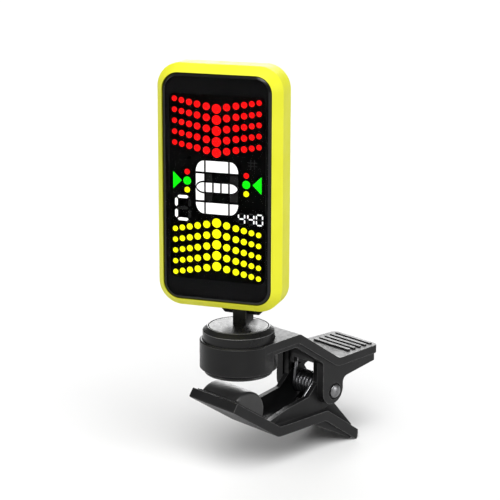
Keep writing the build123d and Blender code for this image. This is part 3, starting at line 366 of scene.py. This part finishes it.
WHITE = lit("lit_white", (1.0, 1.0, 1.0))
GHOST = lit("unlit_segment", (0.005, 0.005, 0.005), 0.9)
LEGEND = moulded("key_legend", (0.5, 0.5, 0.5), (0.6, 0.6, 0.6), 0.5)

# ---------------------------------------------------------------- mesh helpers

FLAT_WEIGHT = 80  # how much large faces count in the weighted normals
MERGE = 0.002 * MM  # vertices of a CAD mesh closer than this are one
FLAT_DEG = 0.6  # CAD faces that meet at less than this are one flat face


def mesh_from(shape, name):
    """A bmesh written out as a mesh of that name, and freed."""
    mesh = bpy.data.meshes.new(name)
    shape.to_mesh(mesh)
    shape.free()
    return mesh


def as_piece(name, mesh, body, material):
    """A finished mesh as an object that rides on a body."""
    piece = bpy.data.objects.new(name, mesh)
    bpy.context.scene.collection.objects.link(piece)
    mesh.materials.clear()
    mesh.materials.append(material)
    mesh.polygons.foreach_set("use_smooth", [True] * len(mesh.polygons))
    weighted = piece.modifiers.new("flat_faces", "WEIGHTED_NORMAL")
    weighted.weight = FLAT_WEIGHT
    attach(piece, body)
    return piece


def body_of(node):
    bodies = frame["record"]["behaviour"]["bodies"]
    return next(body for body, nodes in bodies.items() if node in nodes)


def moulded_from(node, name, material, radius_mm, segments=2, sharp_deg=28, edge_material=None):
    """The CAD node's shape with its edges rounded, in place of the node.

    With an edge material, only the edges that stick out are rounded, and they take it as a paler painted
    highlight.
    """
    shape = bmesh.new()
    shape.from_mesh(frame["nodes"][node].data)
    bmesh.ops.remove_doubles(shape, verts=shape.verts, dist=MERGE)
    bmesh.ops.dissolve_limit(
        shape, angle_limit=math.radians(FLAT_DEG), verts=shape.verts, edges=shape.edges
    )
    sharp = [
        edge
        for edge in shape.edges
        if len(edge.link_faces) == 2
        and edge.calc_face_angle(0) > math.radians(sharp_deg)
        and (edge.is_convex or not edge_material)
    ]
    rounded = bmesh.ops.bevel(
        shape,
        geom=sharp,
        offset=radius_mm * MM,
        offset_type="OFFSET",
        segments=segments,
        profile=0.5,
        affect="EDGES",
        clamp_overlap=True,
    )
    shape.faces.index_update()
    edge_faces = [face.index for face in rounded["faces"]]
    mesh = mesh_from(shape, name)
    piece = as_piece(name, mesh, body_of(node), material)
    # Rounded edges that stick out take the edge material: a painted highlight.
    if edge_material:
        mesh.materials.append(edge_material)
        for index in edge_faces:
            mesh.polygons[index].material_index = 1
    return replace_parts(piece, node)


def plates(name, outlines, depth, thickness, material):
    """Thin flat shapes on the head, each an outline of (across, up) points in millimetres."""
    shape = bmesh.new()
    for outline in outlines:
        back = [shape.verts.new(on_head(u, z, depth)) for u, z in outline]
        front = [shape.verts.new(on_head(u, z, depth + thickness)) for u, z in outline]
        count = len(outline)
        shape.faces.new(front)
        shape.faces.new(back[::-1])
        for i in range(count):
            shape.faces.new([back[i], back[(i + 1) % count], front[(i + 1) % count], front[i]])
    bmesh.ops.recalc_face_normals(shape, faces=shape.faces)
    return as_piece(name, mesh_from(shape, name), "head", material)


def turned(name, profile, steps, body, material):
    """A solid turned about the swivel axis from a closed (radius, height) profile in mm."""
    shape = bmesh.new()
    rings = []
    for k in range(steps):
        angle = 2 * math.pi * k / steps
        rings.append([
            shape.verts.new((r * MM * math.cos(angle), r * MM * math.sin(angle), z * MM))
            for r, z in profile
        ])
    for k in range(steps):
        here, after = rings[k], rings[(k + 1) % steps]
        for i in range(len(profile) - 1):
            shape.faces.new([here[i], after[i], after[i + 1], here[i + 1]])
    bmesh.ops.remove_doubles(shape, verts=shape.verts, dist=0.0005 * MM)
    bmesh.ops.recalc_face_normals(shape, faces=shape.faces)
    return as_piece(name, mesh_from(shape, name), body, material)


def arc(center, radii, start, stop, count):
    """Points on part of an ellipse, angles in degrees."""
    points = []
    for k in range(count + 1):
        angle = math.radians(start + (stop - start) * k / count)
        across, up = radii[0] * math.cos(angle), radii[1] * math.sin(angle)
        points.append((center[0] + across, center[1] + up))
    return points


def mirrored(outline, middle=0.0, across=True):
    """An outline flipped left to right, or top to bottom."""
    if across:
        return [(2 * middle - u, z) for u, z in outline][::-1]
    return [(u, 2 * middle - z) for u, z in outline][::-1]


# ---------------------------------------------------------------- moulded and turned pieces

moulded_from("upper_jaw", "clip_upper_lever", BLACK, 0.2, edge_material=BLACK_EDGE_HIGHLIGHT)
moulded_from("lower_jaw", "clip_lower_lever", BLACK, 0.2, edge_material=BLACK_EDGE_HIGHLIGHT)
moulded_from("swivel_collar", "swivel_ring", BLACK_FINE, 0.14, edge_material=BLACK_EDGE_HIGHLIGHT)
moulded_from("neck", "neck_post", NECK_BLACK_PAINTED_LIGHT, 0.12, edge_material=BLACK_EDGE_HIGHLIGHT)
moulded_from("bezel_frame", "yellow_frame", YELLOW, 0.22, segments=3, sharp_deg=24)
moulded_from("back_cover", "back_shell", BLACK, 0.12, edge_material=BLACK_EDGE_HIGHLIGHT)
moulded_from("battery_hatch", "battery_door", BLACK, 0.10, edge_material=BLACK_EDGE_HIGHLIGHT)
lens = moulded_from("front_lens", "lens", LENS, 0.12, segments=3, sharp_deg=15)
moulded_from("pivot_pin", "pivot_rivet", STEEL, 0.10, segments=3)
moulded_from("power_key", "power_button", KEY_RUBBER, 0.22, segments=3)
moulded_from("pitch_down_key", "pitch_down_button", KEY_RUBBER, 0.22, segments=3)
moulded_from("pitch_up_key", "pitch_up_button", KEY_RUBBER, 0.22, segments=3)
moulded_from("case_screws", "back_screws", BLACK_ZINC, 0.07)
moulded_from("tilt_screw", "tilt_bolt", BLACK_ZINC, 0.08)
moulded_from("tilt_nut", "tilt_hex_nut", BLACK_ZINC, 0.08)

# The lens is printed black on its bevelled rim and its sides.
FACES_FRONT = 0.97  # least cosine between a clear face's normal and the front
lens.data.materials.append(RIM)
for face in lens.data.polygons:
    face.material_index = int(abs(face.normal.dot(FRONT)) < FACES_FRONT)

KEPT = {
    "pin_washer": STEEL,
    "swivel_washer": STEEL,
    "friction_spring": SPRING_STEEL,
    "swivel_screw": STEEL,
    "lens_mask": MASK,
    "lcd_panel": DISPLAY,
    "backlight": GUIDE,
    "contact_strips": PAD_RUBBER,
    "main_pcb": BOARD,
    "controller_chip": COMPONENT,
    "key_switches": COMPONENT,
    "piezo_disc": BRASS,
    "coin_cell": NICKEL,
    "negative_contact": NICKEL,
    "positive_contact": NICKEL,
}
for node, material in KEPT.items():
    mesh = frame["nodes"][node].data
    mesh.materials.clear()
    mesh.materials.append(material)

# ---------------------------------------------------------------- display

glass_front = reach("lcd_panel", FRONT)[1]
SEGMENT_T = 0.02 * MM

# Places and sizes on the display, in millimetres across the head and up
DISPLAY_SHIFT = (-0.2, -0.25)  # the display's middle from the head's
COLUMNS = (0.0, 2.57, 4.92, 6.97, 8.90, 10.72)  # how far a column is from the middle one
ROWS = 5
MIDDLE_DOT = 2.3
SIDE_DOT, DOT_TAPER = 1.95, 0.06  # a side column's dot, less this for each millimetre outwards
RED_FIELD = (70.70, 2.66, 0.185)  # first row's height, row pitch, rise for each millimetre outwards
YELLOW_FIELD = (42.82, 2.72, -0.203)
MID_Z = 52.78  # height of the arrows and of the green dots
CHARACTER = (0.1, 51.48)  # middle of the large character
CHAR_W, CHAR_H = 5.4, 6.5  # half width and half height of the large character
CHAR_BAR = 2.7
CHAR_STEM = 2.1
CHAR_GAP = 0.46
SQUARE_HALF = 1.12  # half height of the squares in the character's middle bar
WAIST = 0.35  # the arcs at the middle bar's ends are centred this far past its middle
SIDE_END = 0.35  # the side segments' outer corners stop this far from the middle


def dot(center, diameter, count=28):
    return arc(center, (diameter / 2, diameter / 2), 0, 360 - 360 / count, count - 1)


def dot_field(first_row, pitch, slope):
    """Five rows of eleven dots, in a shallow V, smaller towards the ends."""
    dots = []
    for row in range(ROWS):
        for away in COLUMNS:
            size = MIDDLE_DOT if away == 0 else SIDE_DOT - DOT_TAPER * away
            for side in (1, -1) if away else (1,):
                dots.append(dot((side * away, first_row - pitch * row + slope * away), size))
    return dots


def at_character(outlines):
    return [[(u + CHARACTER[0], z + CHARACTER[1]) for u, z in outline] for outline in outlines]


def four_ways(outline):
    upper = [outline, mirrored(outline)]
    return upper + [mirrored(shape, across=False) for shape in upper]


def block(left, right, low, high):
    return [(left, low), (right, low), (right, high), (left, high)]


def large_character():
    """Lit and unlit segments of the note letter, as outlines about its middle."""
    inner = CHAR_W - CHAR_STEM
    bar_low = CHAR_H - CHAR_BAR
    bar_end = inner - CHAR_GAP
    corner = [(inner, bar_low)] + arc((inner, bar_low), (CHAR_STEM, CHAR_BAR), 0, 90, 10)
    top_bar = block(-bar_end, bar_end, bar_low, CHAR_H)
    tip = arc((inner, -WAIST), (CHAR_STEM - 0.1, 1.5), 90, 14, 6)
    tip += [(u, -z) for u, z in tip[::-1]]
    side = [(inner, bar_low - CHAR_GAP - 0.1), (inner, 1.6)]
    side += arc((inner, -WAIST), (CHAR_STEM + 0.25, 1.95), 84, 24, 5)
    side += [(CHAR_W, SIDE_END), (CHAR_W, bar_low - CHAR_GAP - 0.1)]
    third = (2 * bar_end - 2 * CHAR_GAP) / 3
    squares = [
        block(start, start + third, -SQUARE_HALF, SQUARE_HALF)
        for start in (-bar_end, -bar_end + third + CHAR_GAP, bar_end - third)
    ]
    left_side = mirrored(side)
    shown = four_ways(corner) + [top_bar, mirrored(top_bar, across=False)] + squares
    shown += [tip, mirrored(tip), left_side, mirrored(left_side, across=False)]
    upright = block(-bar_end, -bar_end + third, 1.5, bar_low - CHAR_GAP)
    hidden = [side, mirrored(side, across=False), upright, mirrored(upright, across=False)]
    return at_character(shown), at_character(hidden)


def digit(left, right, low, high, width, lit_segments):
    """Seven-segment digit with pointed bars. Segments are named a to g, clockwise from the top."""
    mid = (low + high) / 2
    gap = 0.45 * width
    half = width / 2

    def level(z):
        return [
            (left + gap, z),
            (left + gap + half, z + half),
            (right - gap - half, z + half),
            (right - gap, z),
            (right - gap - half, z - half),
            (left + gap + half, z - half),
        ]

    def stem(u, z0, z1):
        return [
            (u, z0 + gap),
            (u + half, z0 + gap + half),
            (u + half, z1 - gap - half),
            (u, z1 - gap),
            (u - half, z1 - gap - half),
            (u - half, z0 + gap + half),
        ]

    shapes = {
        "a": level(high),
        "b": stem(right, mid, high),
        "c": stem(right, low, mid),
        "d": level(low),
        "e": stem(left, low, mid),
        "f": stem(left, mid, high),
        "g": level(mid),
    }
    on = [shapes[key] for key in lit_segments]
    off = [shapes[key] for key in shapes if key not in lit_segments]
    return on, off


def sharp_sign(center, size, width):
    """Two uprights and two cross bars that don't overlap."""
    u, z = center
    end, upright, half = size / 2, size / 5, width / 2
    between = (
        (-end, -upright - half),
        (-upright + half, upright - half),
        (upright + half, end),
    )
    shapes = []
    for side in (-1, 1):
        at = u + side * upright
        shapes.append(block(at - half, at + half, z - end, z + end))
        height = z + side * size / 6
        for left, right in between:
            shapes.append(block(u + left, u + right, height - half, height + half))
    return shapes


shown, hidden = large_character()
for left, right, low, high, width, segments in (
    (-10.40, -6.95, 43.15, 48.75, 0.72, "adef"),
    (5.60, 7.15, 43.05, 45.6, 0.34, "bcfg"),
    (7.98, 9.50, 43.05, 45.6, 0.34, "bcfg"),
    (10.15, 11.70, 43.05, 45.6, 0.34, "abcdef"),
):
    on, off = digit(left, right, low, high, width, segments)
    shown += on
    hidden += off
hidden += sharp_sign((9.15, 57.8), 2.3, 0.26)

ARROW = [(-11.15, MID_Z + 2.1), (-11.15, MID_Z - 2.1), (-8.95, MID_Z)]
SIDE_U = 7.55  # the small dots beside the large character


def side_dots(z, size):
    return [dot((side * SIDE_U, z), size) for side in (1, -1)]


def segments_on_glass(name, outlines, thickness, material):
    across, up = DISPLAY_SHIFT
    moved = [[(u + across, z + up) for u, z in outline] for outline in outlines]
    plates(name, moved, glass_front, thickness, material)


red = dot_field(*RED_FIELD) + side_dots(MID_Z + 2.22, 1.35)
yellow = dot_field(*YELLOW_FIELD) + side_dots(MID_Z - 2.25, 1.4)
green = [ARROW, mirrored(ARROW, middle=0.12)] + side_dots(MID_Z, 1.95)
segments_on_glass("display_red", red, SEGMENT_T, RED)
segments_on_glass("display_yellow", yellow, SEGMENT_T, AMBER)
segments_on_glass("display_green", green, SEGMENT_T, GREEN)
segments_on_glass("display_white", shown, SEGMENT_T, WHITE)
segments_on_glass("display_unlit", hidden, SEGMENT_T / 2, GHOST)

# ---------------------------------------------------------------- rubber pads

pad_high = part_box("upper_pad")[1]
PAD_R = pad_high.x / MM
PAD_TOP = 0.74  # top of the pad's disc, in millimetres


def upper_pad():
    """Round pad with a soft rim, a raised border and four fine rings in its face."""
    spigot_top = pad_high.z / MM - 0.05
    face = [(0, 0.06)]
    for ring in (2.2, 4.0, 5.8, 7.3):
        face += [(ring - 0.22, 0.05), (ring - 0.12, 0.22), (ring + 0.12, 0.22), (ring + 0.22, 0.05)]
    rim = arc((PAD_R - 0.31, 0.31), (0.3, 0.3), -90, 0, 6)
    wall = [
        (PAD_R - 0.01, PAD_TOP - 0.2),
        (PAD_R - 0.1, PAD_TOP - 0.1),
        (PAD_R - 0.1, PAD_TOP),
        (4.3, PAD_TOP),
        (4.3, spigot_top),
        (0, spigot_top),
    ]
    piece = turned("drum_pad", face + rim + wall, 96, "clip_base", PAD_RUBBER)
    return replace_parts(piece, "upper_pad")


JAW_SLOPE = math.atan2(10.03, 15.1)  # fall and run of the lower lever's jaw
ROD_INSET = 0.02 * MM  # the bar stays this far inside its CAD round
END_INSET = 0.01 * MM  # and this far inside its CAD ends
END_ROUND = 0.75 * MM
END_STEPS = 5
BAR_SPANS = 8  # lengths that half the bar is cut into


def lower_pad():
    """Bar across the jaw: a segment of a round rod, with rounded ends and a flat foot."""
    corners = frame["nodes"]["lower_pad"].data.vertices
    along = Vector((math.cos(JAW_SLOPE), 0, -math.sin(JAW_SLOPE)))
    normal = Vector((math.sin(JAW_SLOPE), 0, math.cos(JAW_SLOPE)))
    heights = [v.co.dot(normal) for v in corners]
    reaches = [v.co.dot(along) for v in corners]
    foot, rise = min(heights), max(heights) - min(heights)
    half_w = (max(reaches) - min(reaches)) / 2
    rod = (half_w**2 + rise**2) / (2 * rise)
    drop = rod - rise
    middle = along * (min(reaches) + max(reaches)) / 2 + normal * foot
    radius = rod - ROD_INSET
    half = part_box("lower_pad")[1].y - END_INSET
    stations = []
    for k in range(END_STEPS + 1):
        angle = math.radians(90 * k / END_STEPS)
        y = -half + END_ROUND * (1 - math.cos(angle))
        stations.append((y, radius - END_ROUND * (1 - math.sin(angle))))
    stations += [(-half * (1 - k / BAR_SPANS), radius) for k in range(2, BAR_SPANS)]
    stations += [(0.0, radius)] + [(-y, r) for y, r in stations[::-1]]
    shape = bmesh.new()
    rings = []
    for y, r in stations:
        start = math.degrees(math.asin(drop / r))
        points = arc((0, -drop), (r, r), start, 180 - start, 40)
        rings.append([
            shape.verts.new(middle + along * a + normal * n + Vector((0, y, 0)))
            for a, n in points
        ])
    for here, after in zip(rings, rings[1:]):
        for i in range(len(here) - 1):
            shape.faces.new([here[i], here[i + 1], after[i + 1], after[i]])
        shape.faces.new([here[-1], here[0], after[0], after[-1]])
    shape.faces.new(rings[0])
    shape.faces.new(rings[-1][::-1])
    bmesh.ops.recalc_face_normals(shape, faces=shape.faces)
    mesh = mesh_from(shape, "jaw_bar")
    piece = as_piece("jaw_bar", mesh, "jaw", PAD_RUBBER)
    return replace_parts(piece, "lower_pad")


upper_pad()
lower_pad()

# ---------------------------------------------------------------- torsion spring


def swept(name, path, radius, sides=14):
    """A round wire along a path of points, with closed ends."""
    shape = bmesh.new()
    rings = []
    side = None
    for i, point in enumerate(path):
        ahead = path[min(i + 1, len(path) - 1)] - path[max(i - 1, 0)]
        ahead.normalize()
        if side is None:
            side = ahead.orthogonal().normalized()
        side = (side - ahead * side.dot(ahead)).normalized()
        other = ahead.cross(side)
        rings.append([
            shape.verts.new(point + radius * (side * math.cos(a) + other * math.sin(a)))
            for a in (2 * math.pi * k / sides for k in range(sides))
        ])
    for here, after in zip(rings, rings[1:]):
        for k in range(sides):
            shape.faces.new([here[k], here[(k + 1) % sides], after[(k + 1) % sides], after[k]])
    shape.faces.new(rings[0][::-1])
    shape.faces.new(rings[-1])
    bmesh.ops.recalc_face_normals(shape, faces=shape.faces)
    return mesh_from(shape, name)


WIRE_R = 0.49 * MM
COIL_R = 2.75 * MM
COIL_TURNS = 5.875
COIL_PITCH = 1.17 * MM
COIL_FAR = 4.1 * MM  # Y of the coil's far end
COIL_FROM = 135  # angle at which the near leg meets the coil, in degrees
TURN_STEPS = 36
LEG_STEPS = 12
LOW_LEG = 8.6 * MM
HIGH_TIP = Vector((25.1 * MM, COIL_FAR, -1.7 * MM))


def torsion_spring():
    """Coil round the pin: one leg up on the far side, one down on the near side."""
    coil_near = COIL_FAR - COIL_TURNS * COIL_PITCH
    first = math.radians(COIL_FROM)
    steps = round(TURN_STEPS * COIL_TURNS)
    coil = []
    for k in range(steps + 1):
        angle = first - 2 * math.pi * COIL_TURNS * k / steps
        y = coil_near + (COIL_FAR - coil_near) * k / steps
        x, z = PIVOT.x + COIL_R * math.cos(angle), PIVOT.z + COIL_R * math.sin(angle)
        coil.append(Vector((x, y, z)))
    low_tip = coil[0] - Vector((1, 0, 1)).normalized() * LOW_LEG
    lead = [low_tip.lerp(coil[0], k / LEG_STEPS) for k in range(LEG_STEPS)]
    tail = [coil[-1].lerp(HIGH_TIP, k / LEG_STEPS) for k in range(1, LEG_STEPS + 1)]
    mesh = swept("clip_spring", lead + coil + tail, WIRE_R)
    piece = bpy.data.objects.new("clip_spring", mesh)
    bpy.context.scene.collection.objects.link(piece)
    mesh.materials.append(SPRING_STEEL)
    mesh.polygons.foreach_set("use_smooth", [True] * len(mesh.polygons))
    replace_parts(piece, "torsion_spring")
    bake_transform(piece)


torsion_spring()

# ---------------------------------------------------------------- key legends on the back


def legends():
    """Plain signs on the keys: minus, plus and a power mark."""
    down = reach("pitch_down_key", FRONT)[0]
    thick = 0.03 * MM
    z = (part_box("power_key")[0].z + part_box("power_key")[1].z) / 2 / MM
    step = 8.0
    bar = block(-0.9, 0.9, -0.16, 0.16)
    short = [block(-0.16, 0.16, 0.16, 0.9), block(-0.16, 0.16, -0.9, -0.16)]
    ring_out = arc((0, 0), (1.15, 1.15), 125, 415, 24)
    ring_in = arc((0, 0), (0.85, 0.85), 125, 415, 24)[::-1]
    sets = (
        ("legend_minus", "pitch_down", -step, [bar]),
        ("legend_plus", "pitch_up", step, [bar, *short]),
        ("legend_power", "power", 0.0, [ring_out + ring_in, block(-0.15, 0.15, 0.3, 1.5)]),
    )
    for name, body, u, outlines in sets:
        moved = [[(u + a, z + b) for a, b in outline] for outline in outlines]
        shape = plates(name, moved, down - thick, thick, LEGEND)
        shape.parent = None
        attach(shape, body)


legends()

# ---------------------------------------------------------------- floor, light and camera


FLOOR_HALF = 6.0
FLOOR_DROP = 0.1 * MM


def floor():
    """A plain pale floor just under the lowest piece."""
    mesh = bpy.data.meshes.new("floor")
    size = FLOOR_HALF
    z = cad_low.z - FLOOR_DROP
    corners = [(-size, -size, z), (size, -size, z), (size, size, z), (-size, size, z)]
    mesh.from_pydata(corners, [], [(0, 1, 2, 3)])
    obj = bpy.data.objects.new("floor", mesh)
    bpy.context.scene.collection.objects.link(obj)
    finish = Finish("pale_floor", (0.64, 0.64, 0.64), 0.85, Specular_IOR_Level=0.0)
    cloud = finish.noise(60.0, detail=3)
    finish.color(finish.mix(finish.spread(cloud, 0, 1), (0.635, 0.635, 0.635), (0.645, 0.645, 0.645)))
    mesh.materials.append(finish.material)


def towards(azimuth, elevation):
    """The direction from the object to that azimuth and elevation, in degrees."""
    a, e = math.radians(azimuth), math.radians(elevation)
    return Vector((math.sin(a) * math.cos(e), -math.cos(a) * math.cos(e), math.sin(e)))


def soft_sun(name, azimuth, elevation, spread_deg, strength):
    """A wide, distant light seen from the object at that azimuth and elevation."""
    back = towards(azimuth, elevation)
    data = bpy.data.lights.new(name, "SUN")
    data.angle = math.radians(spread_deg)
    data.energy = strength
    light = bpy.data.objects.new(name, data)
    light.rotation_mode = "QUATERNION"
    light.rotation_quaternion = back.to_track_quat("Z", "Y")
    bpy.context.scene.collection.objects.link(light)


VIEW_AZIMUTH, VIEW_ELEVATION, VIEW_ROLL = -42.81, 13.92, 0.17
VIEW_DISTANCE = 399.2 * MM
VIEW_AIM = (2.84 * MM, 35.87 * MM)  # the point looked at: to the right of the axis, and up
VIEW_SHIFT = -0.029  # the picture's middle below the point looked at, in picture widths
LENS_MM, SENSOR_MM = 114.2, 36.0


def camera():
    """The photo's viewpoint."""
    a, r = math.radians(VIEW_AZIMUTH), math.radians(VIEW_ROLL)
    back = towards(VIEW_AZIMUTH, VIEW_ELEVATION)
    level = Vector((math.cos(a), math.sin(a), 0))
    upward = back.cross(level)
    right = level * math.cos(r) + upward * math.sin(r)
    upward = back.cross(right)
    aim = level * VIEW_AIM[0] + UP * VIEW_AIM[1]
    data = bpy.data.cameras.new("camera")
    data.lens = LENS_MM
    data.sensor_width = SENSOR_MM
    data.shift_y = VIEW_SHIFT
    data.clip_start, data.clip_end = 0.01, 20
    cam = bpy.data.objects.new("camera", data)
    turn = Matrix((right, upward, back)).transposed().to_4x4()
    cam.matrix_world = Matrix.Translation(aim + back * VIEW_DISTANCE) @ turn
    bpy.context.scene.collection.objects.link(cam)
    bpy.context.scene.camera = cam


WORLD_STRENGTH = 0.25


def studio():
    """White surroundings, and four soft lights: azimuth, elevation, spread and strength."""
    scene = bpy.context.scene
    scene.view_settings.view_transform = "Standard"
    world = bpy.data.worlds.new("studio")
    world.use_nodes = True
    world.node_tree.nodes["Background"].inputs["Color"].default_value = (1, 1, 1, 1)
    world.node_tree.nodes["Background"].inputs["Strength"].default_value = WORLD_STRENGTH
    scene.world = world
    soft_sun("key", -45, 55, 50, 4.4)
    soft_sun("low_left", -107, 12, 24, 0.5)
    soft_sun("low_right", 21, 10, 24, 1.0)
    soft_sun("back", 137, 14, 40, 2.2)


floor()
camera()
studio()
